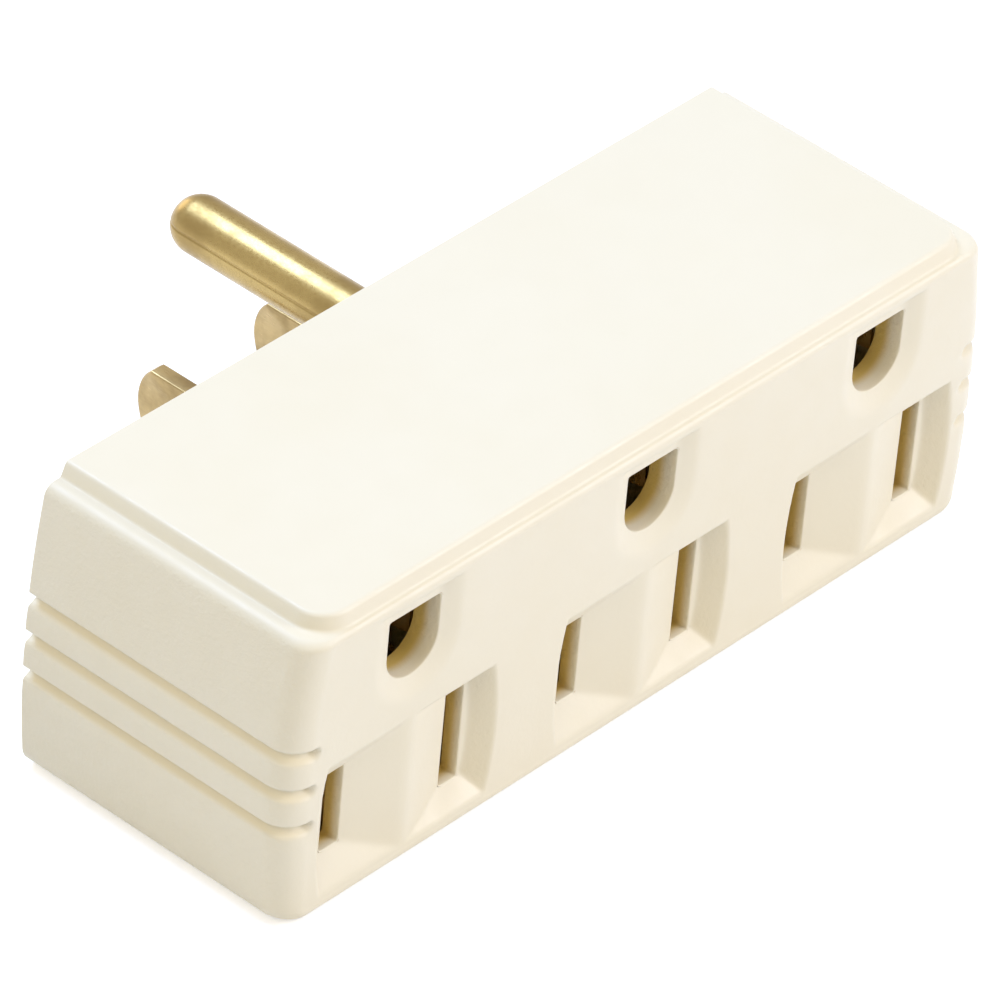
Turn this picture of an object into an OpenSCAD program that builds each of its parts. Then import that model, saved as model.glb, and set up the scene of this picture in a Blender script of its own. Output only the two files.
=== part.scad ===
// Three-outlet grounding plug adapter: an ivory moulded body with three grounded outlets on its
// front face, and two blades and a round ground pin on its back. All sizes are in millimetres.
// X runs along the body, Y from the outlet face to the plug, Z up. Inside this file Y = 0 is the
// outlet face and Z = 0 the underside; place() then puts the origin under the middle of the whole.

/* [Body] */
// Length over both ends, where they are widest
body_l = 76.6; // [76:0.2:90]
// Depth from the outlet face to the back
body_d = 26.2; // [26:0.2:34]
// Height from the underside to the shoulder round the top panel
body_h = 25.4; // [25.2:0.2:30]
// Height above the underside at which the ends are widest
end_widest_z = 10.5; // [8:0.5:14]
// Radius of the outward curve of each end above its widest line
end_bow_upper_r = 84; // [50:2:140]
// Radius of the outward curve of each end below its widest line
end_bow_lower_r = 86; // [50:2:140]
// Rounding of the upright corners beside the outlet face
corner_r = 2.4; // [1:0.1:3]
// Rounding of the long edge above the outlet face
front_top_r = 0.6; // [0.3:0.1:0.8]
// Rounding of the long edge below the outlet face
front_bottom_r = 1.2; // [0.5:0.1:1.6]
// Rounding of the shoulder at each end
end_top_r = 1; // [0.5:0.1:1.6]
// Rounding of the underside at each end
end_bottom_r = 2; // [1:0.1:3]
// Thickness of the wall that the outlets are cut through
front_wall = 3.1; // [2.6:0.1:3.4]
// Thickness of the floor of the housing
floor_t = 2; // [1.6:0.1:2.4]
// Thickness of each end wall at its widest
end_wall = 3.2; // [2.8:0.1:3.6]
// Thickness of the roof, measured down from the shoulder
roof_t = 1.8; // [1.4:0.1:2.2]

/* [Top panel] */
// Height of the raised panel above the shoulder
panel_t = 1.2; // [0.6:0.1:2]
// Distance from the widest part of an end to the panel's upper edge
panel_end_inset = 3.3; // [3:0.05:6]
// Distance from the outlet face to the panel's upper edge
panel_front_inset = 1; // [0.9:0.1:3]
// How far the panel's sides lean out down to the shoulder
panel_lean = 0.5; // [0.2:0.1:0.8]
// Rounding of the panel's two front corners
panel_corner_r = 2.4; // [1:0.1:4]

/* [End grooves] */
// Number of finger grooves round each end
groove_n = 3; // [1:1:4]
// Spacing of the grooves
groove_pitch = 3.3; // [2.4:0.1:3.6]
// Height of the middle of the set of grooves
groove_z = 11.9; // [11:0.1:13]
// Radius of a groove's round section
groove_r = 0.75; // [0.5:0.05:0.9]
// Depth of a groove
groove_deep = 0.55; // [0.3:0.05:0.7]
// How far a groove runs onto the flat of the outlet face
groove_run = 0.5; // [0.2:0.1:1]

/* [Outlets] */
// Distance from the middle of an outer outlet to the end of the body
end_margin = 12.9; // [12.7:0.1:13.5]
// Spacing of the two flat blades, on outlets and plug alike
blade_spacing = 12.7; // [12.5:0.1:12.9]
// Height of the blades' centre line above the underside
blade_z = 7.7; // [7.5:0.1:8.2]
// Distance from the shoulder down to the middle of the ground holes and the ground pin
ground_drop = 5.6; // [5.4:0.1:6]
// Width of a blade slot
slot_w = 1.95; // [1.8:0.05:2.3]
// Height of the hot slot
hot_slot_h = 7; // [6.8:0.1:7.4]
// Height of the neutral slot
neutral_slot_h = 8.8; // [8.6:0.1:9.4]
// Width of a recess at its upper and lower rim
recess_w = 17.6; // [17.2:0.1:18.4]
// Height of a recess at the outlet face
recess_h = 11.9; // [11.2:0.1:12.2]
// Depth of a recess at its slots
recess_deep = 1.6; // [1:0.1:1.8]
// How far the sides of a recess bow outwards
recess_bow = 0.65; // [0.3:0.05:0.9]
// Width of the flat strip between a slot and the outer wall of its recess
ledge_w = 0.7; // [0.4:0.1:0.8]
// Width of the flat along the ridge between the two slots
ridge_w = 0.5; // [0.3:0.1:0.8]
// Diameter of the round part of a ground hole
ground_hole_d = 5.4; // [5.1:0.1:5.6]
// Height of a ground hole's flat side above the hole's centre
ground_flat = 3.2; // [2.8:0.1:3.3]
// Rim radius of the shallow lead-in round a ground hole
dish_r = 4.4; // [3.6:0.1:4.8]
// Depth of the lead-in at the ground hole
dish_deep = 0.7; // [0.4:0.1:0.9]
// Height of the lead-in's upper end above the hole's centre
dish_top = 4.6; // [4:0.1:4.8]

/* [Plug] */
// Thickness of a blade
blade_t = 1.5; // [1.4:0.05:1.6]
// Height of a blade
blade_h = 6.35; // [6.2:0.05:6.5]
// How far the blades stand out of the back
blade_l = 18.9; // [15.9:0.1:19]
// Radius of the curve across a blade's tip
blade_tip_r = 4.1; // [3.6:0.1:8]
// Diameter of the hole in a blade
blade_hole_d = 3.2; // [2.4:0.1:3.6]
// Distance from the back to the hole in a blade
blade_hole_y = 11.9; // [11:0.1:12.6]
// Diameter of the ground pin
pin_d = 4.76; // [4.6:0.02:4.9]
// How far the ground pin stands out beyond the blades
pin_extra = 3.1; // [2.6:0.1:3.4]
// Diameter of the thicker root of the ground pin, inside the body
pin_root_d = 5.4; // [5:0.1:6]

/* [Rear cover] */
// Thickness of the rear cover
cover_t = 1.8; // [1.5:0.1:1.9]
// Width of the step in the housing that the cover sits on
cover_step = 0.7; // [0.5:0.05:0.8]
// Gap between the cover and what it fits into, on each side
cover_gap = 0.1; // [0.05:0.05:0.15]
// Diameter of a cover peg
peg_d = 2.2; // [1.8:0.1:2.6]
// Length of a cover peg below the cover
peg_l = 8; // [6:0.5:9]
// Diameter of the post that takes a peg
post_d = 4.2; // [3.8:0.1:5]
// Gap round a peg where it passes through the ground bus bar
peg_hole_gap = 0.2; // [0.1:0.05:0.4]
// Thickness of the ribs that hold the strips
rib_t = 1.6; // [1.2:0.1:2]

/* [Contacts] */
// Thickness of the sheet brass of the bus bars
bar_t = 0.8; // [0.6:0.1:0.9]
// Width of the hot and neutral bus bars
bar_w = 3.4; // [3:0.1:3.6]
// Width of the ground bus bar
ground_bar_w = 4.2; // [4:0.1:4.4]
// Thickness of the sheet brass of the contact clips
clip_t = 0.5; // [0.4:0.05:0.6]
// Height of the two leaves of a blade clip
clip_h = 6.2; // [5.6:0.1:6.6]
// Gap between the leaves of a blade clip where they grip
clip_grip = 1.1; // [0.9:0.1:1.4]
// Gap between the leaves of a ground clip where they grip
ground_grip = 4.5; // [4.4:0.05:4.6]
// Diameter of a rivet's shank
rivet_d = 1.6; // [1.3:0.1:1.8]
// Diameter of a rivet's head
rivet_head_d = 2.8; // [2.5:0.1:3]
// Thickness of a rivet's head
rivet_head_t = 0.5; // [0.4:0.05:0.6]
// Gap round a rivet's shank
rivet_gap = 0.05; // [0.03:0.01:0.08]
// Free depth between the rivets of the lower bus bars and the rear cover
bar_room = 2.2; // [1.8:0.1:3]

/* [Hidden] */

$fa = 1;
$fs = 0.12;

IVORY = [0.95, 0.92, 0.84];
BRASS = [0.80, 0.66, 0.36];
STRIP_BRASS = [0.76, 0.62, 0.34];
RIVET_BRASS = [0.70, 0.57, 0.32];

// A little extra length by which a cut passes through a face
through = 1;

// How deep a post, rib or peg is rooted in the wall that it stands on
root = 0.5;

// How far the rounding of an end's edge is set out
edge_ease = 0.02;

// How far a rivet's or stud's shank runs into its heads, so that they join
shank_lap = 0.1;

// Free depth at the end of a peg
peg_end_gap = 0.5;

half_l = body_l / 2;
overall_d = body_d + blade_l + pin_extra;
outlet_pitch = half_l - end_margin;
outlet_xs = [for (i = [-1 : 1]) i * outlet_pitch];
blade_x = blade_spacing / 2;
ground_z = body_h - ground_drop;

// Inside of the housing, and the step that the cover sits in
cavity_half_l = half_l - end_wall;
cavity_top = body_h - roof_t;
step_half_l = cavity_half_l + cover_step;
cover_y = body_d - cover_t;

// Outline of a recess: its low and high rim, and the radius of its bowed sides
recess_low = blade_z - recess_h / 2;
recess_high = blade_z + recess_h / 2;
recess_side_r = (recess_h * recess_h / 4 + recess_bow * recess_bow) / (2 * recess_bow);
recess_mid_x = recess_w / 2 + recess_bow;
recess_foot_x = blade_x + slot_w / 2 + ledge_w;

// The two flat bus bars stand edge to edge behind the blade clips, hot below and neutral above
bar_y = cover_y - bar_room - rivet_head_t - blade_t - bar_t;
bar_gap = 3;
hot_bar_z = blade_z - (bar_gap + bar_w) / 2;
neutral_bar_z = blade_z + (bar_gap + bar_w) / 2;

// The ground bar stands close to the cover, with room for its rivets' heads
rivet_room = 0.1;
ground_bar_y = cover_y - bar_t - rivet_head_t - rivet_room;
pin_head_t = 0.5;
pin_stud_d = 2.4;
pin_head_d = 3.8;

// Blade clips, from the mouth to the grip, the belly and the web on the bar; the rivet stands
// beside the leaves, towards the middle of the outlet
clip_mouth_y = front_wall + 0.5;
clip_grip_y = clip_mouth_y + 3.4;
clip_grip_half = 0.8;
clip_belly_y = clip_grip_y + 6;
clip_mouth_x = 1.75;
clip_belly_x = 1.9;
clip_rivet_x = 4.4;
clip_tab = 1.8;
clip_tab_end = clip_rivet_x + clip_tab;
clip_neck = 2.2;
clip_neck_y = bar_y - clip_t - clip_neck;
clip_neck_slant = 1;
clip_half_w = 3;
bar_overhang = 0.4;

// Ground clips: a foot plate on the bar, with two leaves standing on it
ground_mouth_x = 3.1;
ground_leaf_x = 2.95;
ground_rivet_x = 5.3;
ground_foot_half = 7;

// Blade roots: a tang behind the bar, then the full height past the other bar
tang_y = bar_y + bar_t;
tang_step = 1;
tang_lap = 0.5;
blade_full_y = tang_y + blade_t + tang_step;

// Posts and ribs of the housing and the cover, midway between the outlets
post_xs = [-outlet_pitch / 2, outlet_pitch / 2];
rib_low_z = hot_bar_z - bar_w / 2;
rib_high_z = neutral_bar_z + bar_w / 2;

// Half the body's length at height z, on the curve of its ends
function end_x(z) =
    let (r = z > end_widest_z ? end_bow_upper_r : end_bow_lower_r)
    half_l - r + sqrt(r * r - (z - end_widest_z) * (z - end_widest_z));

function unit(v) = v / norm(v);
function left_of(v) = [-v[1], v[0]];
function reverse(list) = [for (i = [len(list) - 1 : -1 : 0]) list[i]];

// The line through points p, moved o to its left with mitred corners
function beside(p, o) = [
    for (i = [0 : len(p) - 1])
    let (
        a = unit(i > 0 ? p[i] - p[i - 1] : p[i + 1] - p[i]),
        b = unit(i < len(p) - 1 ? p[i + 1] - p[i] : p[i] - p[i - 1]),
        m = unit(left_of(a) + left_of(b))
    )
    p[i] + m * o / (m * left_of(a))
];

// A strip of thickness t whose middle follows the points p
module strip_outline(p, t) {
    polygon(concat(beside(p, t / 2), reverse(beside(p, -t / 2))));
}

// Places a finished piece with the origin under the middle of body and plug together
module place() {
    translate([0, -overall_d / 2, 0]) children();
}

// Extrudes an outline drawn in Y and Z along X, from x0 to x1
module along_x(x0, x1) {
    translate([x0, 0, 0]) rotate([90, 0, 90]) linear_extrude(height = x1 - x0) children();
}

// Extrudes an outline drawn in X and Z along Y, from y0 to y1
module along_y(y0, y1) {
    translate([0, y1, 0]) rotate([90, 0, 0]) linear_extrude(height = y1 - y0) children();
}

// A round bar or cone along Y, centred on x and z
module round_y(x, z, y0, y1, d0, d1) {
    translate([x, y0, z]) rotate([-90, 0, 0]) cylinder(h = y1 - y0, d1 = d0, d2 = d1);
}

// A block between two opposite corners
module block(low, high) {
    translate(low) cube(high - low);
}

// What is cut from a square corner at the origin to round it by r; the corner's sides run
// along sx * X and sy * Y
module corner_waste(r, sx, sy) {
    difference() {
        polygon([[-sx * through, -sy * through], [sx * r, -sy * through], [sx * r, sy * r], [-sx * through, sy * r]]);
        translate([sx * r, sy * r]) circle(r = r);
    }
}

// A disc whose round edge is the bowed end of the body, with the upright front corner rounded
module end_disc(side, r) {
    translate([side * (half_l - r), 0, end_widest_z])
    rotate([-90, 0, 0])
    rotate_extrude()
    difference() {
        square([r, body_d]);
        translate([r, 0]) corner_waste(corner_r, -1, 1);
    }
}

// The part of the body above or below the widest line of its ends
module bowed_block(r, z0, z1) {
    intersection() {
        end_disc(-1, r);
        end_disc(1, r);
        block([-half_l - through, -through, z0], [half_l + through, body_d + through, z1]);
    }
}

// What is cut to round an edge between the bowed end and a flat at height z. The rounding is set
// out by edge_ease, so that it crosses the bowed end and the flat instead of only touching them.
module end_edge_waste(side, z, r, bow_r) {
    up = z > end_widest_z ? 1 : -1;
    tz = z - up * r;
    tx = half_l - bow_r + sqrt((bow_r - r) * (bow_r - r) - (tz - end_widest_z) * (tz - end_widest_z));
    a = atan2(tz - end_widest_z, tx - half_l + bow_r);
    cx = tx + edge_ease * cos(a);
    cz = tz + edge_ease * sin(a);
    far = r + 2;
    mid = (a + up * 90) / 2;
    mirror([side < 0 ? 1 : 0, 0, 0])
    along_y(-through, body_d + through)
    difference() {
        polygon([
            [cx, cz],
            [cx + far * cos(a), cz + far * sin(a)],
            [cx + 2 * far * cos(mid), cz + 2 * far * sin(mid)],
            [cx, cz + up * far]
        ]);
        translate([cx, cz]) circle(r = r);
    }
}

// The raised top panel: flush with the back, its other three sides leaning in
module top_panel() {
    x = half_l - panel_end_inset;
    y = panel_front_inset;
    r = panel_corner_r;
    z0 = body_h;
    z1 = body_h + panel_t;
    a = panel_lean;
    along_y(y + r, body_d) polygon([[-x - a, z0], [x + a, z0], [x, z1], [-x, z1]]);
    along_x(-x + r, x - r) polygon([[y - a, z0], [y + r + 1, z0], [y + r + 1, z1], [y, z1]]);
    for (side = [-1, 1])
        translate([side * (x - r), y + r, z0]) cylinder(h = panel_t, r1 = r + a, r2 = r);
    block([-x + r, y + r, z0 - 1], [x - r, body_d, z1]);
}

// One finger groove round an end, from the back to a round end on the outlet face
module groove(side, z) {
    out = groove_r - groove_deep;
    x = end_x(z);
    mirror([side < 0 ? 1 : 0, 0, 0]) {
        round_y(x + out, z, corner_r, body_d + through, 2 * groove_r, 2 * groove_r);
        translate([x - corner_r, corner_r, z]) rotate([0, 0, -90])
            rotate_extrude(angle = 90) translate([corner_r + out, 0]) circle(r = groove_r);
        translate([x - corner_r - groove_run, -out, z]) {
            rotate([0, 90, 0]) cylinder(h = groove_run, r = groove_r);
            rotate([0, -90, 0]) rotate_extrude() intersection() {
                circle(r = groove_r);
                square(groove_r);
            }
        }
    }
}

// One half of a recess: down from the ridge to its slot, and up a bowed outer wall to the rim
module recess_half(side, slot_h) {
    inner_x = blade_x - slot_w / 2;
    wall_slope = (recess_mid_x - recess_foot_x) / recess_deep;
    past_x = recess_mid_x + through;
    mirror([side < 0 ? 1 : 0, 0, 0])
    intersection() {
        translate([recess_mid_x - recess_side_r, 0, blade_z])
            round_y(0, 0, -through, recess_deep,
                2 * (recess_side_r + through * wall_slope), 2 * (recess_side_r - recess_deep * wall_slope));
        translate([0, 0, recess_low - through]) linear_extrude(height = recess_h + 2 * through)
            polygon([
                [ridge_w / 2, -through], [ridge_w / 2, 0], [inner_x, recess_deep],
                [past_x, recess_deep], [past_x, -through]
            ]);
        along_x(0, past_x)
            polygon([
                [-through, recess_low], [0, recess_low], [recess_deep, blade_z - slot_h / 2],
                [recess_deep, blade_z + slot_h / 2], [0, recess_high], [-through, recess_high]
            ]);
    }
    block(
        [side * blade_x - slot_w / 2, recess_deep - root / 2, blade_z - slot_h / 2],
        [side * blade_x + slot_w / 2, front_wall + through, blade_z + slot_h / 2]
    );
}

// The ground hole, round below and flat above, with its shallow lead-in
module ground_opening() {
    r = ground_hole_d / 2;
    round_y(0, ground_z, -through, front_wall + through, 2 * r, 2 * r);
    block([-r, -through, ground_z], [r, front_wall + through, ground_z + ground_flat]);
    round_y(0, ground_z, 0, dish_deep, 2 * dish_r, 2 * r);
    translate([0, 0, ground_z]) linear_extrude(height = dish_top)
        polygon([[-dish_r, 0], [dish_r, 0], [r, dish_deep], [-r, dish_deep]]);
    round_y(0, ground_z, -through, 0, 2 * dish_r, 2 * dish_r);
    block([-dish_r, -through, ground_z], [dish_r, 0, ground_z + dish_top]);
}

// The space for the contacts and the step for the cover
module housing_cavity() {
    block([-cavity_half_l, front_wall, floor_t], [cavity_half_l, body_d + through, cavity_top]);
    block(
        [-step_half_l, cover_y, floor_t - cover_step],
        [step_half_l, body_d + through, cavity_top + cover_step]
    );
}

module front_housing() {
    color(IVORY)
    place() {
        difference() {
            union() {
                intersection() {
                    union() {
                        bowed_block(end_bow_upper_r, end_widest_z, body_h + through);
                        bowed_block(end_bow_lower_r, -through, end_widest_z);
                    }
                    along_x(-half_l - through, half_l + through)
                        difference() {
                            square([body_d, body_h]);
                            corner_waste(front_bottom_r, 1, 1);
                            translate([0, body_h]) corner_waste(front_top_r, 1, -1);
                        }
                }
                top_panel();
            }
            for (side = [-1, 1]) {
                end_edge_waste(side, body_h, end_top_r, end_bow_upper_r);
                end_edge_waste(side, 0, end_bottom_r, end_bow_lower_r);
                for (i = [0 : groove_n - 1])
                    groove(side, groove_z + (i - (groove_n - 1) / 2) * groove_pitch);
            }
            housing_cavity();
            for (x = outlet_xs) translate([x, 0, 0]) {
                recess_half(-1, hot_slot_h);
                recess_half(1, neutral_slot_h);
                ground_opening();
            }
        }
        housing_posts();
    }
}

// Posts for the cover's pegs, which the ground bus bar rests on, each joined to the roof by a rib,
// and the ribs that the two lower bus bars rest on
module housing_posts() {
    for (x = post_xs) {
        difference() {
            union() {
                round_y(x, ground_z, front_wall - root, ground_bar_y, post_d, post_d);
                block(
                    [x - rib_t / 2, front_wall - root, ground_z],
                    [x + rib_t / 2, ground_bar_y, cavity_top + root]
                );
            }
            round_y(x, ground_z, cover_y - peg_l - peg_end_gap, ground_bar_y + through,
                peg_d + 2 * rivet_gap, peg_d + 2 * rivet_gap);
        }
        block([x - rib_t / 2, front_wall - root, floor_t - root], [x + rib_t / 2, bar_y, rib_high_z]);
    }
}

module rear_cover() {
    w = blade_t / 2 + cover_gap;
    h = blade_h / 2 + cover_gap;
    color(IVORY)
    place() {
        difference() {
            block(
                [-step_half_l + cover_gap, cover_y, floor_t - cover_step + cover_gap],
                [step_half_l - cover_gap, body_d, cavity_top + cover_step - cover_gap]
            );
            for (side = [-1, 1])
                block(
                    [side * blade_x - w, cover_y - through, blade_z - h],
                    [side * blade_x + w, body_d + through, blade_z + h]
                );
            round_y(0, ground_z, cover_y - through, body_d + through,
                pin_root_d + 2 * cover_gap, pin_root_d + 2 * cover_gap);
        }
        for (x = post_xs) {
            round_y(x, ground_z, cover_y - peg_l, cover_y + root, peg_d, peg_d);
            round_y(x, ground_z, ground_bar_y + bar_t, cover_y + root, post_d, post_d);
            block([x - rib_t / 2, tang_y, rib_low_z], [x + rib_t / 2, cover_y + root, rib_high_z]);
        }
    }
}

// Where the clips of one polarity stand: side is -1 for hot and 1 for neutral
function clip_xs(side) = [for (x = outlet_xs) x + side * blade_x];
function rivet_xs(side) = [for (x = clip_xs(side)) x - side * clip_rivet_x];

module blade_bar(side) {
    z = side < 0 ? hot_bar_z : neutral_bar_z;
    outer = outlet_pitch + blade_x + clip_belly_x + bar_overhang;
    inner = outlet_pitch - blade_x + clip_tab_end;
    color(STRIP_BRASS)
    place() mirror([side > 0 ? 0 : 1, 0, 0]) difference() {
        block([-inner, bar_y, z - bar_w / 2], [outer, tang_y, z + bar_w / 2]);
        for (x = outlet_xs)
            round_y(x + blade_x - clip_rivet_x, z, bar_y - through, tang_y + through,
                rivet_d + 2 * rivet_gap, rivet_d + 2 * rivet_gap);
    }
}

module hot_bus_bar() {
    blade_bar(-1);
}

module neutral_bus_bar() {
    blade_bar(1);
}

module ground_bus_bar() {
    half = outlet_pitch + ground_foot_half;
    color(STRIP_BRASS)
    place() difference() {
        block(
            [-half, ground_bar_y, ground_z - ground_bar_w / 2],
            [half, ground_bar_y + bar_t, ground_z + ground_bar_w / 2]
        );
        for (x = outlet_xs) for (side = [-1, 1])
            round_y(x + side * ground_rivet_x, ground_z, ground_bar_y - through, ground_bar_y + bar_t + through,
                rivet_d + 2 * rivet_gap, rivet_d + 2 * rivet_gap);
        round_y(0, ground_z, ground_bar_y - through, ground_bar_y + bar_t + through,
            pin_stud_d + 2 * rivet_gap, pin_stud_d + 2 * rivet_gap);
        for (x = post_xs)
            round_y(x, ground_z, ground_bar_y - through, ground_bar_y + bar_t + through,
                peg_d + 2 * peg_hole_gap, peg_d + 2 * peg_hole_gap);
    }
}

// A folded clip that grips a blade between two leaves: side is -1 for hot and 1 for neutral
module blade_contact(side, index) {
    z = side < 0 ? hot_bar_z : neutral_bar_z;
    web_y = bar_y - clip_t / 2;
    leaf = [
        [clip_mouth_x, clip_mouth_y],
        [(clip_grip + clip_t) / 2, clip_grip_y - clip_grip_half],
        [(clip_grip + clip_t) / 2, clip_grip_y + clip_grip_half],
        [clip_belly_x, clip_belly_y], [clip_belly_x, web_y]
    ];
    path = concat([for (p = leaf) [-p[0], p[1]]], reverse(leaf));
    neck = side < 0
        ? [[clip_neck_y, z + bar_w / 2], [clip_neck_y, blade_z + clip_h / 2]]
        : [[clip_neck_y, z - bar_w / 2], [clip_neck_y, blade_z - clip_h / 2]];
    color(BRASS)
    place() translate([outlet_xs[index] + side * blade_x, 0, 0]) {
        intersection() {
            linear_extrude(height = body_h) strip_outline(path, clip_t);
            along_x(-clip_half_w, clip_half_w) polygon([
                [0, blade_z + side * clip_h / 2], [clip_neck_y, blade_z + side * clip_h / 2],
                [clip_neck_y + clip_neck_slant, z + side * bar_w / 2], [bar_y, z + side * bar_w / 2],
                [bar_y, z - side * bar_w / 2], neck[0], neck[1], [0, blade_z - side * clip_h / 2]
            ]);
        }
        mirror([side > 0 ? 1 : 0, 0, 0]) difference() {
            block([0, bar_y - clip_t, z - bar_w / 2], [clip_tab_end, bar_y, z + bar_w / 2]);
            round_y(clip_rivet_x, z, bar_y - clip_t - through, bar_y + through,
                rivet_d + 2 * rivet_gap, rivet_d + 2 * rivet_gap);
        }
    }
}

module hot_contact_1() {
    blade_contact(-1, 0);
}

module hot_contact_2() {
    blade_contact(-1, 1);
}

module hot_contact_3() {
    blade_contact(-1, 2);
}

module neutral_contact_1() {
    blade_contact(1, 0);
}

module neutral_contact_2() {
    blade_contact(1, 1);
}

module neutral_contact_3() {
    blade_contact(1, 2);
}

// A ground clip: a foot plate with a leaf on each side; the pin's stud goes through the middle one
module ground_contact(index) {
    foot_y = ground_bar_y - clip_t;
    color(BRASS)
    place() translate([outlet_xs[index], 0, 0]) {
        difference() {
            block(
                [-ground_foot_half, foot_y, ground_z - ground_bar_w / 2],
                [ground_foot_half, ground_bar_y, ground_z + ground_bar_w / 2]
            );
            if (index == 1)
                round_y(0, ground_z, foot_y - through, ground_bar_y + through,
                    pin_stud_d + 2 * rivet_gap, pin_stud_d + 2 * rivet_gap);
            for (side = [-1, 1])
                round_y(side * ground_rivet_x, ground_z, foot_y - through, ground_bar_y + through,
                    rivet_d + 2 * rivet_gap, rivet_d + 2 * rivet_gap);
        }
        for (side = [-1, 1]) mirror([side < 0 ? 1 : 0, 0, 0])
            translate([0, 0, ground_z - ground_bar_w / 2]) linear_extrude(height = ground_bar_w)
                strip_outline([
                    [ground_mouth_x, clip_mouth_y],
                    [(ground_grip + clip_t) / 2, clip_grip_y - clip_grip_half],
                    [(ground_grip + clip_t) / 2, clip_grip_y + clip_grip_half],
                    [ground_leaf_x, clip_belly_y], [ground_leaf_x, ground_bar_y]
                ], clip_t);
    }
}

module ground_contact_1() {
    ground_contact(0);
}

module ground_contact_2() {
    ground_contact(1);
}

module ground_contact_3() {
    ground_contact(2);
}

// A rivet along Y that clamps everything between y0 and y1
module rivet(x, z, y0, y1) {
    round_y(x, z, y0 - rivet_head_t, y0, rivet_head_d, rivet_head_d);
    round_y(x, z, y0 - shank_lap, y1 + shank_lap, rivet_d, rivet_d);
    round_y(x, z, y1, y1 + rivet_head_t, rivet_head_d, rivet_head_d);
}

// The rivet of the middle outlet also holds the foot of the blade
module blade_rivets(side) {
    z = side < 0 ? hot_bar_z : neutral_bar_z;
    xs = rivet_xs(side);
    color(RIVET_BRASS)
    place() for (i = [0 : 2])
        rivet(xs[i], z, bar_y - clip_t, tang_y + (i == 1 ? blade_t : 0));
}

module hot_rivets() {
    blade_rivets(-1);
}

module neutral_rivets() {
    blade_rivets(1);
}

module ground_rivets() {
    color(RIVET_BRASS)
    place() for (x = outlet_xs) for (side = [-1, 1])
        rivet(x + side * ground_rivet_x, ground_z, ground_bar_y - clip_t, ground_bar_y + bar_t);
}

// A flat blade with a foot riveted behind its bus bar: side is -1 for hot and 1 for neutral
module plug_blade(side) {
    bar_z = side < 0 ? hot_bar_z : neutral_bar_z;
    tip_y = body_d + blade_l;
    low = blade_z - blade_h / 2;
    high = blade_z + blade_h / 2;
    foot_low = bar_z - bar_w / 2;
    foot_high = bar_z + bar_w / 2;
    color(BRASS)
    place() {
        difference() {
            union() {
                intersection() {
                    translate([side * blade_x, 0, 0]) along_x(-blade_t / 2, blade_t / 2)
                        translate([tip_y - blade_tip_r, blade_z]) circle(r = blade_tip_r);
                    block(
                        [side * blade_x - blade_t, tip_y - blade_tip_r, low],
                        [side * blade_x + blade_t, tip_y + through, high]
                    );
                }
                block(
                    [side * blade_x - blade_t / 2, blade_full_y, low],
                    [side * blade_x + blade_t / 2, tip_y - sqrt(blade_tip_r * blade_tip_r - blade_h * blade_h / 4), high]
                );
                block(
                    [side * blade_x - blade_t / 2, tang_y, foot_low],
                    [side * blade_x + blade_t / 2, blade_full_y + tang_lap, foot_high]
                );
                mirror([side > 0 ? 1 : 0, 0, 0])
                    block(
                        [-blade_x, tang_y, foot_low],
                        [-blade_x + clip_tab_end, tang_y + blade_t, foot_high]
                    );
            }
            translate([side * (blade_x + blade_t), body_d + blade_hole_y, blade_z]) rotate([0, -side * 90, 0])
                cylinder(h = 2 * blade_t, d = blade_hole_d);
            round_y(side * (blade_x - clip_rivet_x), bar_z, tang_y - through, tang_y + blade_t + through,
                rivet_d + 2 * rivet_gap, rivet_d + 2 * rivet_gap);
        }
    }
}

module hot_blade() {
    plug_blade(-1);
}

module neutral_blade() {
    plug_blade(1);
}

// The ground pin: a round-tipped shank on a thicker root that ends flush with the back, and a stud
// riveted over in front of the middle clip
module ground_pin() {
    r = pin_d / 2;
    tip_y = body_d + blade_l + pin_extra;
    seat_y = ground_bar_y + bar_t;
    color(BRASS)
    place() translate([0, seat_y, ground_z]) rotate([-90, 0, 0]) rotate_extrude() {
        square([r, tip_y - r - seat_y]);
        square([pin_root_d / 2, body_d - seat_y]);
        translate([0, tip_y - r - seat_y]) intersection() {
            circle(r = r);
            square(r);
        }
        translate([0, -bar_t - clip_t - shank_lap]) square([pin_stud_d / 2, bar_t + clip_t + 2 * shank_lap]);
        translate([0, -bar_t - clip_t - pin_head_t]) square([pin_head_d / 2, pin_head_t]);
    }
}

front_housing();
rear_cover();
hot_bus_bar();
neutral_bus_bar();
ground_bus_bar();
hot_contact_1();
hot_contact_2();
hot_contact_3();
neutral_contact_1();
neutral_contact_2();
neutral_contact_3();
ground_contact_1();
ground_contact_2();
ground_contact_3();
hot_rivets();
neutral_rivets();
ground_rivets();
hot_blade();
neutral_blade();
ground_pin();
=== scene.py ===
"""Looks of the grounding plug adapter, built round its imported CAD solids."""

import logging
import math
from dataclasses import dataclass, field
from enum import Enum

import bmesh
import bpy
import numpy as np
from mathutils import Matrix, Vector


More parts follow.
